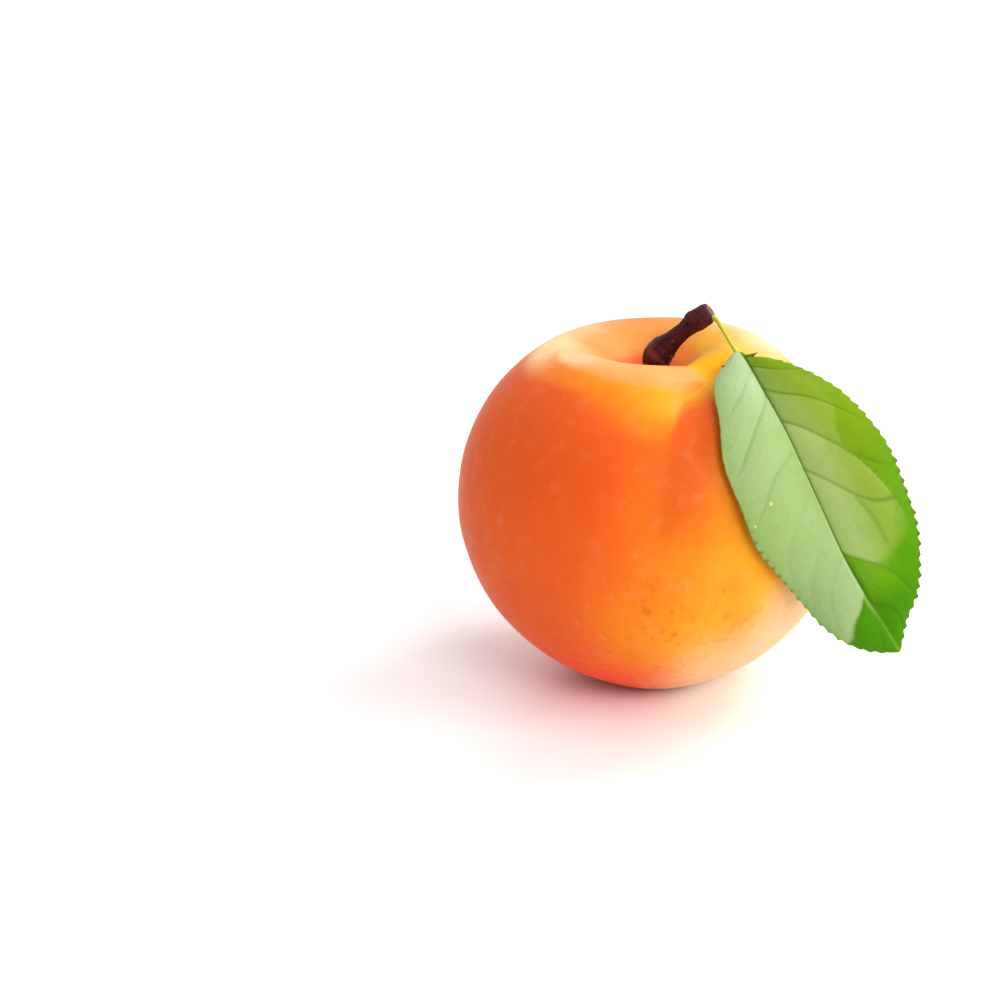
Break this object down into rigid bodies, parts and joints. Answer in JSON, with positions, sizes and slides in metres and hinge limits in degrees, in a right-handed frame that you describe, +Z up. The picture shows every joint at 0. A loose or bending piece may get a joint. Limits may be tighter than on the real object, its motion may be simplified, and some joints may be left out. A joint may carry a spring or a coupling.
{
  "type": "apricot",
  "caption": "Ripe stone fruit with a seam down one side, a hollow at the top holding a short woody stalk, and a serrated leaf on a thin petiole.",
  "frame": {"origin": "middle of the flat spot under the fruit, where it rests", "axes": "+Z up towards the stalk; -Y is the front, with the seam; +X is the side the leaf hangs on"},
  "size_m": [0.0574, 0.0499, 0.0501],
  "materials": {
    "apricot_skin": "soft velvety skin, yellow-orange with a red-orange blush",
    "stalk_bark": "dark reddish-brown bark",
    "leaf_green": "semi-gloss leaf"
  },
  "bodies": {
    "root": {"fruit": "apricot_skin", "stalk": "stalk_bark", "leaf": "leaf_green"}
  },
  "joints": []
}
